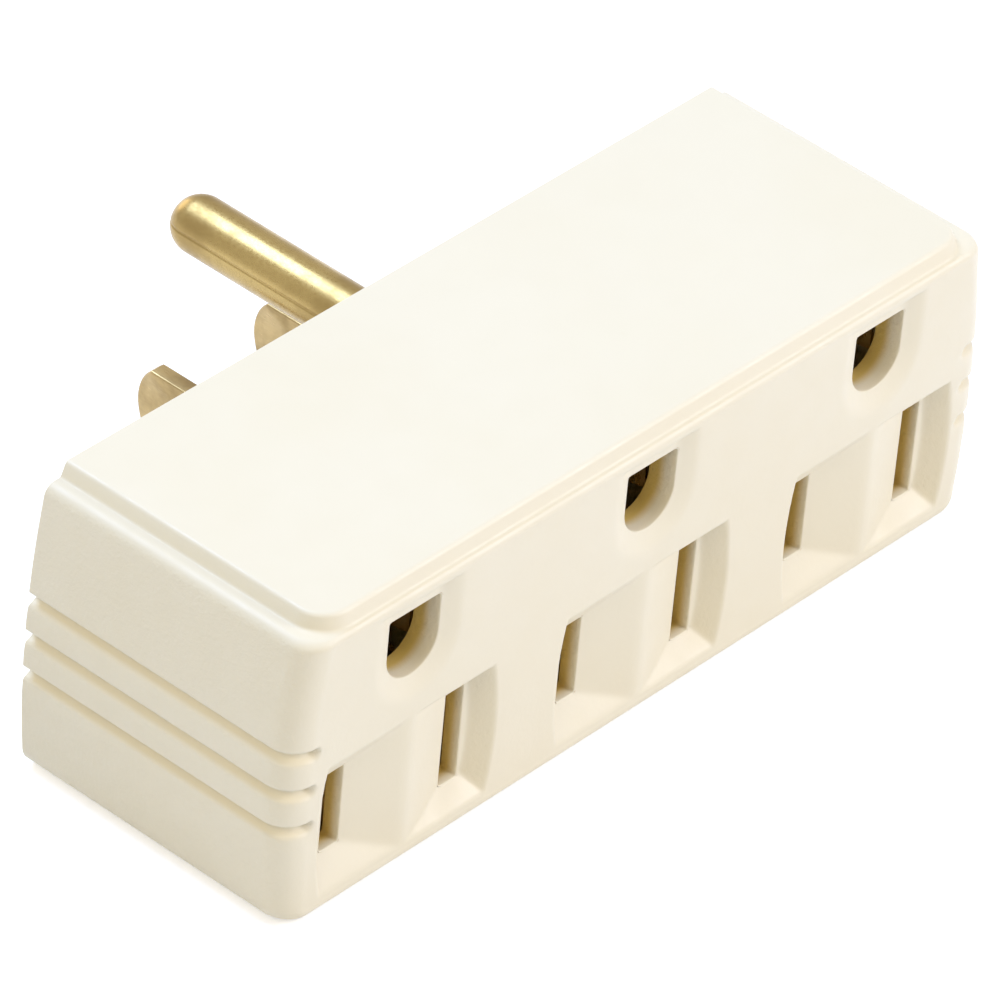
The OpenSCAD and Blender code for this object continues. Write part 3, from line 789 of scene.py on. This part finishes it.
        fy = np.broadcast_to(front[:, 0][:, None], fx.shape)
        fz = np.broadcast_to(front[:, 1][:, None], fx.shape)
        gx = np.concatenate([-x, fx, x[:, ::-1]], 1)
        gy = np.concatenate([y, fy, y[:, ::-1]], 1)
        gz = np.concatenate([z, fz, z[:, ::-1]], 1)
        way = np.concatenate([np.broadcast_to(angle, x.shape), np.full(fx.shape, math.pi / 2), np.broadcast_to(angle[:, ::-1], x.shape)], 1)
        on_wall = ((np.arange(rows) > 9) & (np.arange(rows) < rows - 27))[:, None]
        end_at = self.end_x(gz) - self.corner_r
        past = np.where(way > math.pi / 2 - 1e-6, np.maximum(end_at - np.abs(gx), 0.0), 0.0)
        dent = self.grooves(gz, past) * on_wall
        flat = way > math.pi / 2 - 1e-6
        carved = np.where(flat & on_wall, self.face.depth(gx, gz), 0.0)
        pressed = np.where(flat, soft_max(dent, carved, 0.08) * on_wall, dent)
        gx = gx - np.sign(gx) * np.cos(way) * pressed
        gy = gy + np.where(flat, 1.0, np.sin(way)) * pressed
        return np.stack([gx, gy, gz], -1), x.shape[1]

    def cut(self, grid: np.ndarray, margin: int) -> tuple[np.ndarray, np.ndarray]:
        """Opens the holes in the front.

        A face whose middle lies inside a hole's outline, grown by the lip, is left
        out, and the points round the opening move onto that outline and to its depth.

        Args:
            grid: the skin's points.
            margin: columns on each side that the front doesn't have.

        Returns:
            The points and the faces.
        """
        rows, columns = grid.shape[:2]
        faces = quad_faces(rows, columns, False, False)
        flat = grid.reshape(-1, 3).copy()
        plan = flat[:, [0, 2]]
        column = np.arange(rows * columns) % columns
        front = (column >= margin) & (column < columns - margin) & (flat[:, 1] < self.front_y + 3.0) & (plan[:, 1] > 1.5) & (plan[:, 1] < 24.7)
        middles = plan[faces].mean(1)
        keep = np.ones(len(faces), bool)
        for hole in self.face.holes():
            keep &= ~((hole.distance(middles) < self.face.lip) & front[faces].all(1))
        used = np.zeros(len(flat), bool)
        used[faces[keep].ravel()] = True
        gone = np.zeros(len(flat), bool)
        gone[faces[~keep].ravel()] = True
        border = used & gone
        for hole in self.face.holes():
            near = border & (np.abs(hole.distance(plan) - self.face.lip) < 2 * self.pitch_fine)
            moved = hole.snapped(plan[near], self.face.lip)
            flat[near, 0], flat[near, 2] = moved[:, 0], moved[:, 1]
            flat[near, 1] = self.front_y + self.face.depth(moved[:, 0], moved[:, 1])
        return flat, faces[keep]

    def rim(self, grid: np.ndarray) -> tuple[np.ndarray, np.ndarray]:
        """The flat back rim, from the skin's rear outline to the cover's opening.

        The outline is the skin's first column, then its last; every point joins the
        nearest point of the opening's rectangle, its x and z clipped to it.

        Args:
            grid: the skin's points.

        Returns:
            The points and the faces.
        """
        outer = np.concatenate([grid[:, 0], grid[::-1, -1]])
        inner = outer.copy()
        inner[:, 0] = np.clip(outer[:, 0], -self.rim_half, self.rim_half)
        inner[:, 2] = np.clip(outer[:, 2], self.rim_low, self.rim_high)
        return np.concatenate([outer, inner]), quad_faces(2, len(outer), False, True)

    def bore(self, hole: Hole) -> tuple[np.ndarray, np.ndarray]:
        """A hole's wall: a quarter circle of the lip's radius, then straight to the back of the front wall.

        Args:
            hole: the hole.

        Returns:
            The points in millimetres and the faces.
        """
        ring = hole.ring(0.22)
        away = hole.slope(ring)
        q = np.linspace(0.0, math.pi / 2, 5)
        lip = self.face.lip
        start = ring + away * lip
        first = self.face.depth(start[:, 0], start[:, 1])
        outs = np.concatenate([lip * (1 - np.sin(q)), np.zeros(7)])
        downs = np.concatenate([lip * (1 - np.cos(q)), np.full(7, lip)])
        share = np.concatenate([np.zeros(5), np.linspace(0.0, 1.0, 8)[1:]])
        plan = ring[None] + away[None] * outs[:, None, None]
        deep = (first[None] + downs[:, None]) * (1 - share[:, None]) + self.face.wall * share[:, None]
        grid = np.stack([plan[..., 0], self.front_y + deep, plan[..., 1]], -1)
        return grid.reshape(-1, 3), quad_faces(grid.shape[0], grid.shape[1], False, True)

    def inside(self, material: bpy.types.Material) -> None:
        """Makes the cavity with its posts and ribs: the CAD solid's own faces behind the front wall and within the rim.

        Args:
            material: the plastic.
        """
        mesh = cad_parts[self.node].data.copy()
        mesh.name = "housing_inside"
        mesh.materials.clear()
        work = bmesh.new()
        work.from_mesh(mesh)
        bmesh.ops.remove_doubles(work, verts=work.verts, dist=1e-6)
        limit = (self.rim_half + 0.01, self.front_y + self.face.wall - 0.01, self.back_y + 0.01, self.rim_low - 0.01, self.rim_high + 0.01)
        outside = [
            f for f in work.faces
            if any(
                abs(v.co.x) / MM > limit[0] or v.co.y / MM < limit[1] or not limit[3] < v.co.z / MM < limit[4]
                for v in f.verts
            )
        ]
        bmesh.ops.delete(work, geom=outside, context="FACES")
        work.to_mesh(mesh)
        work.free()
        mesh.shade_flat()
        piece = bpy.data.objects.new("housing_inside", mesh)
        bpy.context.scene.collection.objects.link(piece)
        piece.data.materials.append(material)
        settle(piece, "housing", self.node)

    def build(self) -> None:
        """Makes and dresses the housing."""
        grid, margin = self.skin()
        points, faces = self.cut(grid, margin)
        rows, columns = grid.shape[:2]
        lists = faces.tolist()
        lists.append(list(range(columns)))
        lists.append(list(range((rows - 1) * columns, rows * columns))[::-1])
        clouds = [points]
        count = len(points)
        for more, more_faces in [self.rim(grid), *[self.bore(hole) for hole in self.face.holes()]]:
            clouds.append(more)
            lists += (more_faces + count).tolist()
            count += len(more)
        mesh = bpy.data.meshes.new("housing_skin")
        mesh.from_pydata((np.concatenate(clouds) * MM).tolist(), [], lists)
        mesh.validate()
        plastic = self.finish.build()
        piece = shown("housing_skin", mesh, 50.0)
        piece.data.materials.append(plastic)
        settle(piece, "housing", self.node)
        self.inside(plastic)


@dataclass
class BackPlate:
    """The cover in the housing's back."""

    node: str = "rear_cover"
    edge: float = 0.18 * MM
    steps: int = 3
    finish: IvoryPlastic = field(default_factory=lambda: IvoryPlastic(name="cover_plastic", quiet_grain=0.6))

    def build(self) -> None:
        """Makes and dresses the cover."""
        piece = softened_copy("back_plate", self.node, self.edge, self.steps)
        piece.data.materials.append(self.finish.build())
        settle(piece, "housing", self.node)


@dataclass
class GroundPin:
    """The round pin: domed tip, shank with a rolled seam, thicker root and riveted stud."""

    node: str = "ground_pin"
    shank_r: float = 2.38 * MM
    root_r: float = 2.7 * MM
    root_end: float = 2.1 * MM
    seat: float = -0.3 * MM
    stud_r: float = 1.2 * MM
    stud_run: float = 1.3 * MM
    head_r: float = 1.9 * MM
    head_t: float = 0.5 * MM
    edge: float = 0.12 * MM
    seam_angle: float = math.radians(170.0)
    seam_half: float = math.radians(2.6)
    seam_depth: float = 0.07 * MM
    finish: Brass = field(default_factory=lambda: Brass(
        "pin_brass", (0.51, 0.365, 0.14), (0.26, 0.165, 0.055), Lay.SANDED, 0.21, 0.34, 0.003 * MM, 0.5))

    def profile(self, tip: float) -> np.ndarray:
        """The pin's half outline, from the stud's head to the tip.

        Straight runs meet in quarter circles of the edge radius, and the tip is a
        quarter circle of the shank's radius: (r cos a, tip - r + r sin a).

        Args:
            tip: how far out the pin reaches, in metres.

        Returns:
            Points (radius, y) in order; the first and last lie on the axis.
        """
        q = np.linspace(0.0, math.pi / 2, 5)
        back = self.seat - self.stud_run
        head = [(0.0, back - self.head_t), (self.head_r - self.edge, back - self.head_t)]
        corner = np.stack([self.head_r - self.edge + self.edge * np.sin(q), back - self.head_t + self.edge - self.edge * np.cos(q)], 1)
        stud = [(self.head_r, back), (self.stud_r, back), (self.stud_r, self.seat), (self.root_r, self.seat)]
        root = np.stack([self.root_r - self.edge + self.edge * np.cos(q), self.root_end - self.edge + self.edge * np.sin(q)], 1)
        run = np.linspace(self.root_end, tip - self.shank_r, 24)
        shank = np.stack([np.full_like(run, self.shank_r), run], 1)
        a = np.linspace(0.0, math.pi / 2, 25)[1:]
        dome = np.stack([self.shank_r * np.cos(a), tip - self.shank_r + self.shank_r * np.sin(a)], 1)
        return np.concatenate([head, corner, stud, root, shank, dome])

    def angles(self) -> np.ndarray:
        """Angles round the axis, closer together at the seam."""
        even = np.linspace(0.0, 2 * math.pi, 97)[:-1]
        fine = self.seam_angle + np.linspace(-3.0, 3.0, 25) * self.seam_half
        return np.sort(np.concatenate([even[np.abs(even - self.seam_angle) > 3.2 * self.seam_half], fine]))

    def build(self) -> None:
        """Makes and dresses the pin.

        Point (i, j) is the outline's radius i at angle j, less the seam: its depth
        times exp(-(distance from the seam / its half width)^2), on the shank and dome.
        """
        low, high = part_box(self.node)
        centre_z = (low.z + high.z) / 2
        line = self.profile(high.y)
        turn = self.angles()
        fade = np.clip((line[:, 1] - self.root_end) / (0.4 * MM), 0, 1) * np.clip(line[:, 0] / self.shank_r * 1.6, 0, 1)
        dent = self.seam_depth * np.exp(-(((turn - self.seam_angle) / self.seam_half) ** 2))
        radius = line[1:-1, 0][:, None] - fade[1:-1][:, None] * dent[None, :]
        y = np.broadcast_to(line[1:-1, 1][:, None], radius.shape)
        rings = np.stack([radius * np.cos(turn), y, centre_z + radius * np.sin(turn)], -1)
        ends = np.array([[0.0, line[0, 1], centre_z], [0.0, line[-1, 1], centre_z]])
        rows, columns = radius.shape
        faces = quad_faces(rows, columns, False, True).tolist()
        j = np.arange(columns)
        first, last = rows * columns, rows * columns + 1
        faces += np.stack([np.full(columns, first), (j + 1) % columns, j], 1).tolist()
        base = (rows - 1) * columns
        faces += np.stack([np.full(columns, last), base + j, base + (j + 1) % columns], 1).tolist()
        piece = new_piece("round_pin", np.concatenate([rings.reshape(-1, 3), ends]), faces)
        piece.data.materials.append(self.finish.build())
        settle(piece, "pin_brass", self.node)


@dataclass
class Blades:
    """The two flat blades, each with a coined tip, a hole and a foot under its rivet."""

    thickness: float = 1.5 * MM
    height: float = 6.35 * MM
    middle_z: float = 7.7 * MM
    tip_r: float = 4.1 * MM
    hole_r: float = 1.6 * MM
    hole_y: float = 14.0 * MM
    edge: float = 0.16 * MM
    hole_edge: float = 0.1 * MM
    coin_run: float = 1.7 * MM
    coin_depth: float = 0.36 * MM
    neck_y: float = -1.4 * MM
    foot_y: float = -3.9 * MM
    finish: Brass = field(default_factory=lambda: Brass(
        "blade_brass", (0.56, 0.41, 0.19), (0.26, 0.175, 0.07), Lay.ALONG_Y, 0.24, 0.42, 0.008 * MM, 0.7))

    def outline(self, inset: float, tip: float) -> np.ndarray:
        """The blade's outline in the (y, z) plane, moved inwards by an inset.

        Two straight sides at z = +-(height/2 - inset), a back at neck_y + inset, and
        a tip that is an arc of radius tip_r - inset about (tip - tip_r, middle_z).

        Args:
            inset: distance inwards, in metres.
            tip: how far out the blade reaches, in metres.

        Returns:
            A closed ring of points (y, z), always with the same count.
        """
        half, r = self.height / 2 - inset, self.tip_r - inset
        centre, back = tip - self.tip_r, self.neck_y + inset
        bend = math.asin(half / r)
        shoulder = centre + r * math.cos(bend)
        side = np.linspace(0.0, 1.0, 61)[:-1]
        top = np.stack([back + (shoulder - back) * side, np.full(60, half)], 1)
        a = np.linspace(bend, -bend, 33)[:-1]
        arc = np.stack([centre + r * np.cos(a), r * np.sin(a)], 1)
        low = np.stack([shoulder + (back - shoulder) * side, np.full(60, -half)], 1)
        z = np.linspace(-half, half, 13)[:-1]
        ring = np.concatenate([top, arc, low, np.stack([np.full(12, back), z], 1)])
        return ring + np.array([0.0, self.middle_z])

    def plate(self, x: float, tip: float) -> tuple[np.ndarray, np.ndarray]:
        """The blade's plate with its hole, as one ring-shaped surface.

        The first parameter goes round the hole; the second goes over the section: one
        face, the outer edge's quarter circles, the other face and the hole's wall. The
        plate thins towards its tip by coin_depth times a smooth step over coin_run.

        Args:
            x: the plate's middle, in metres.
            tip: how far out the blade reaches, in metres.

        Returns:
            The points and the faces.
        """
        q = np.linspace(0.0, math.pi / 2, 5)
        centre = np.array([self.hole_y, self.middle_z])
        edge = [(self.edge * (1 - math.sin(a)), self.thickness / 2 - self.edge * (1 - math.cos(a))) for a in q]
        ring = self.outline(0.0, tip)
        ways = ring - centre
        ways /= np.linalg.norm(ways, axis=1)[:, None]
        wall = [(self.hole_r + self.hole_edge * (1 - math.sin(a)), self.thickness / 2 - self.hole_edge * (1 - math.cos(a))) for a in q]
        rows = [(centre + ways * r, t) for r, t in wall[::-1]]
        rows += [(self.outline(d, tip), t) for d, t in edge]
        rows += [(p, -t) for p, t in reversed(rows)]
        points = []
        for plane, t in rows:
            step = np.clip((plane[:, 0] - (tip - self.coin_run)) / self.coin_run, 0, 1)
            thin = 1 - self.coin_depth / (self.thickness / 2) * step * step * (3 - 2 * step)
            points.append(np.stack([x + t * thin, plane[:, 0], plane[:, 1]], 1))
        grid = np.stack(points)
        return grid.reshape(-1, 3), quad_faces(grid.shape[0], grid.shape[1], True, True)

    def foot(self, x: float, low: Vector, high: Vector, rivet_side: float) -> tuple[np.ndarray, np.ndarray]:
        """The bent foot: a rounded rectangle carried along an L-shaped path.

        The path runs from under the rivet along x, round a quarter circle and out
        along y into the plate; the section is a superellipse, |u|^8 + |v|^8 = 1.

        Args:
            x: the plate's middle, in metres.
            low: the node's lowest corner.
            high: the node's highest corner.
            rivet_side: +1 or -1, the direction along x in which the foot points.

        Returns:
            The points and the faces.
        """
        half = self.thickness / 2
        reach = (high.x - x) if rivet_side > 0 else (x - low.x)
        bend_r = half * 1.05
        along = np.linspace(reach, bend_r, 12)[:-1]
        q = np.linspace(0.0, math.pi / 2, 9)
        out = np.linspace(self.foot_y + half + bend_r, self.neck_y + 0.8 * MM, 10)[1:]
        path_x = np.concatenate([along, bend_r - bend_r * np.sin(q), np.zeros(9)])
        path_y = np.concatenate([np.full(11, self.foot_y + half), self.foot_y + half + bend_r - bend_r * np.cos(q), out])
        way = np.stack([np.gradient(path_x), np.gradient(path_y)], 1)
        way /= np.linalg.norm(way, axis=1)[:, None]
        a = np.linspace(0.0, 2 * math.pi, 49)[:-1]
        u = np.sign(np.cos(a)) * np.abs(np.cos(a)) ** 0.25
        v = np.sign(np.sin(a)) * np.abs(np.sin(a)) ** 0.25
        foot_z = (1.7 * MM) * 1.0
        middle = self.foot_z(low, high)
        px = x + rivet_side * (path_x[:, None] - way[:, 1][:, None] * u * half)
        py = path_y[:, None] + way[:, 0][:, None] * u * half
        pz = np.broadcast_to(middle + v * foot_z, px.shape)
        grid = np.stack([px, py, pz], -1)
        faces = quad_faces(grid.shape[0], grid.shape[1], False, True)
        return grid.reshape(-1, 3), faces

    def foot_z(self, low: Vector, high: Vector) -> float:
        """Height of the foot's middle: the node's end that stands past the plate, less half a strip."""
        above = high.z - (self.middle_z + self.height / 2)
        below = (self.middle_z - self.height / 2) - low.z
        return high.z - 1.7 * MM if above > below else low.z + 1.7 * MM

    def build(self) -> None:
        """Makes and dresses both blades."""
        brass = self.finish.build()
        for name, node, side in (("hot_blade_plate", "hot_blade", -1.0), ("neutral_blade_plate", "neutral_blade", 1.0)):
            low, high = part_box(node)
            x = side * 6.35 * MM
            plate, plate_faces = self.plate(x, high.y)
            foot, foot_faces = self.foot(x, low, high, 1.0 if high.x - x > x - low.x else -1.0)
            count = len(foot) // 48
            caps = [list(range(48))[::-1], list(range((count - 1) * 48, count * 48))]
            faces = plate_faces.tolist() + (foot_faces + len(plate)).tolist()
            faces += [[i + len(plate) for i in cap] for cap in caps]
            piece = new_piece(name, np.concatenate([plate, foot]), faces)
            piece.data.materials.append(brass)
            settle(piece, "blade_brass", node)


@dataclass
class Brassware:
    """Strips, clips and rivets inside the housing."""

    strip: Brass = field(default_factory=lambda: Brass(
        "strip_brass", (0.72, 0.56, 0.30), (0.45, 0.31, 0.14), Lay.ALONG_X, 0.25, 0.42))
    spring: Brass = field(default_factory=lambda: Brass(
        "spring_brass", (0.74, 0.57, 0.28), (0.46, 0.31, 0.13), Lay.ALONG_Z, 0.22, 0.38))
    rivet: Brass = field(default_factory=lambda: Brass(
        "rivet_brass", (0.66, 0.51, 0.27), (0.40, 0.28, 0.13), Lay.NONE, 0.26, 0.42))

    def build(self) -> None:
        """Dresses the nodes."""
        for finish, slot, nodes in (
            (self.strip, "strip_brass", [f"{pole}_bus_bar" for pole in ("hot", "neutral", "ground")]),
            (self.spring, "spring_brass", [f"{pole}_contact_{n}" for pole in ("hot", "neutral", "ground") for n in (1, 2, 3)]),
            (self.rivet, "rivet_brass", [f"{pole}_rivets" for pole in ("hot", "neutral", "ground")]),
        ):
            material = finish.build()
            for node in nodes:
                dress(node, material)


# --------------------------------------------------------------------- studio


@dataclass(frozen=True)
class Lamp:
    """A soft square lamp: where it stands, what it points at, its width and its watts."""

    name: str
    place: Colour
    width: float
    watts: float
    tint: Colour = (1.0, 1.0, 1.0)

    def build(self, aim: Vector) -> None:
        """Makes the lamp.

        Args:
            aim: the point that it faces.
        """
        data = bpy.data.lights.new(self.name, "AREA")
        data.shape = "SQUARE"
        data.size = self.width
        data.energy = self.watts
        data.color = self.tint
        lamp = bpy.data.objects.new(self.name, data)
        lamp.location = self.place
        lamp.rotation_euler = (aim - Vector(self.place)).to_track_quat("-Z", "Y").to_euler()
        bpy.context.scene.collection.objects.link(lamp)


@dataclass
class Studio:
    """Camera, lamps, floor and sky."""

    aim: Colour = (-0.128 * MM, -9.602 * MM, 11.798 * MM)
    azimuth: float = -50.906
    elevation: float = 37.298
    roll: float = -5.442
    distance: float = 726.386 * MM
    focal: float = 354.054
    floor_half: float = 3.0
    ambient: float = 0.43
    floor_white: Pair = (0.47, 0.68)
    lamps: tuple[Lamp, ...] = (
        Lamp("top_softbox", (-0.02, 0.36, 0.60), 0.41, 2.32, (0.76, 1.02, 1.60)),
        Lamp("front_softbox", (0.42, -0.56, 0.42), 0.42, 3.45, (0.99, 1.0, 1.16)),
        Lamp("left_softbox", (-0.46, -0.14, 0.50), 0.35, 1.15, (1.11, 1.0, 0.80)),
        Lamp("back_softbox", (0.16, 0.78, 0.16), 0.40, 1.0, (1.08, 1.0, 0.84)),
    )

    def camera(self) -> None:
        """Makes the camera: it looks at aim from an azimuth and elevation, rolled about its own axis."""
        a, e = math.radians(self.azimuth), math.radians(self.elevation)
        back = Vector((math.sin(a) * math.cos(e), -math.cos(a) * math.cos(e), math.sin(e)))
        right = Vector((math.cos(a), math.sin(a), 0.0))
        up = back.cross(right)
        basis = Matrix((right, up, back)).transposed() @ Matrix.Rotation(math.radians(-self.roll), 3, "Z")
        data = bpy.data.cameras.new("camera")
        data.sensor_width = 36.0
        data.lens = self.focal
        data.clip_start, data.clip_end = 0.05, 20.0
        camera = bpy.data.objects.new("camera", data)
        camera.matrix_world = Matrix.Translation(Vector(self.aim) + back * self.distance) @ basis.to_4x4()
        bpy.context.scene.collection.objects.link(camera)
        bpy.context.scene.camera = camera

    def floor(self) -> None:
        """Makes the pale floor, a shallow dish whose height is 0.04 (r / half)^6, r being the distance from the middle."""
        r = np.concatenate([[0.0], np.geomspace(0.02, 1.0, 24)]) * self.floor_half
        turn = np.linspace(0.0, 2 * math.pi, 65)[:-1]
        height = -0.05 * MM + 0.04 * (r / self.floor_half) ** 6
        grid = np.stack([r[:, None] * np.cos(turn), r[:, None] * np.sin(turn), np.broadcast_to(height[:, None], (25, 64))], -1)
        piece = new_piece("floor", grid[1:], quad_faces(24, 64, False, True).tolist() + [list(range(64))])
        made = Nodes("floor_paper")
        tone = made.mix(made.remap(made.noise(30.0, 3.0), 0.3, 0.7, 0.0, 1.0), (0.80, 0.80, 0.80, 1.0), (0.78, 0.78, 0.78, 1.0))
        made.link(tone, made.shader.inputs["Base Color"])
        made.shader.inputs["Roughness"].default_value = 0.9
        made.link(made.bump(made.noise(900.0, 3.0), 0.03 * MM), made.shader.inputs["Normal"])
        rays = made.tree.nodes.new("ShaderNodeLightPath")
        seen = made.math("MAXIMUM", made.math("MAXIMUM", rays.outputs["Is Camera Ray"], rays.outputs["Is Glossy Ray"]), rays.outputs["Is Transmission Ray"])
        made.shader.inputs["Emission Color"].default_value = (1.0, 1.0, 1.0, 1.0)
        away = made.tree.nodes.new("ShaderNodeVectorMath")
        away.operation = "LENGTH"
        made.link(made.place, away.inputs[0])
        glow = made.remap(away.outputs["Value"], 0.25, 1.4, *self.floor_white)
        made.link(made.math("MULTIPLY", seen, glow), made.shader.inputs["Emission Strength"])
        piece.data.materials.append(made.material)

    def sky(self) -> None:
        """Makes the world: a plain level of light, seen as white behind the object."""
        world = bpy.data.worlds.new("studio")
        world.use_nodes = True
        tree = world.node_tree
        tree.nodes.clear()
        output = tree.nodes.new("ShaderNodeOutputWorld")
        light, seen = tree.nodes.new("ShaderNodeBackground"), tree.nodes.new("ShaderNodeBackground")
        light.inputs["Strength"].default_value = self.ambient
        seen.inputs["Strength"].default_value = 1.0
        rays = tree.nodes.new("ShaderNodeLightPath")
        either, any_ray = tree.nodes.new("ShaderNodeMath"), tree.nodes.new("ShaderNodeMath")
        either.operation = any_ray.operation = "MAXIMUM"
        blend = tree.nodes.new("ShaderNodeMixShader")
        for source, target in (
            (rays.outputs["Is Camera Ray"], either.inputs[0]),
            (rays.outputs["Is Glossy Ray"], either.inputs[1]),
            (either.outputs[0], any_ray.inputs[0]),
            (rays.outputs["Is Transmission Ray"], any_ray.inputs[1]),
            (any_ray.outputs[0], blend.inputs[0]),
            (light.outputs[0], blend.inputs[1]),
            (seen.outputs[0], blend.inputs[2]),
            (blend.outputs[0], output.inputs["Surface"]),
        ):
            tree.links.new(source, target)
        bpy.context.scene.world = world

    def build(self) -> None:
        """Makes the whole studio."""
        self.camera()
        self.floor()
        self.sky()
        for lamp in self.lamps:
            lamp.build(Vector(self.aim))
        bpy.context.scene.view_settings.view_transform = "Standard"
        LOG.info("studio: %d lamps", len(self.lamps))


def main() -> None:
    logging.basicConfig(level=logging.INFO, format="%(name)s: %(message)s")
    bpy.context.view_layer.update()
    Studio().build()
    for part in (Housing(), BackPlate(), GroundPin(), Blades(), Brassware()):
        part.build()
        LOG.info("%s built", type(part).__name__)


if __name__ == "__main__":
    main()
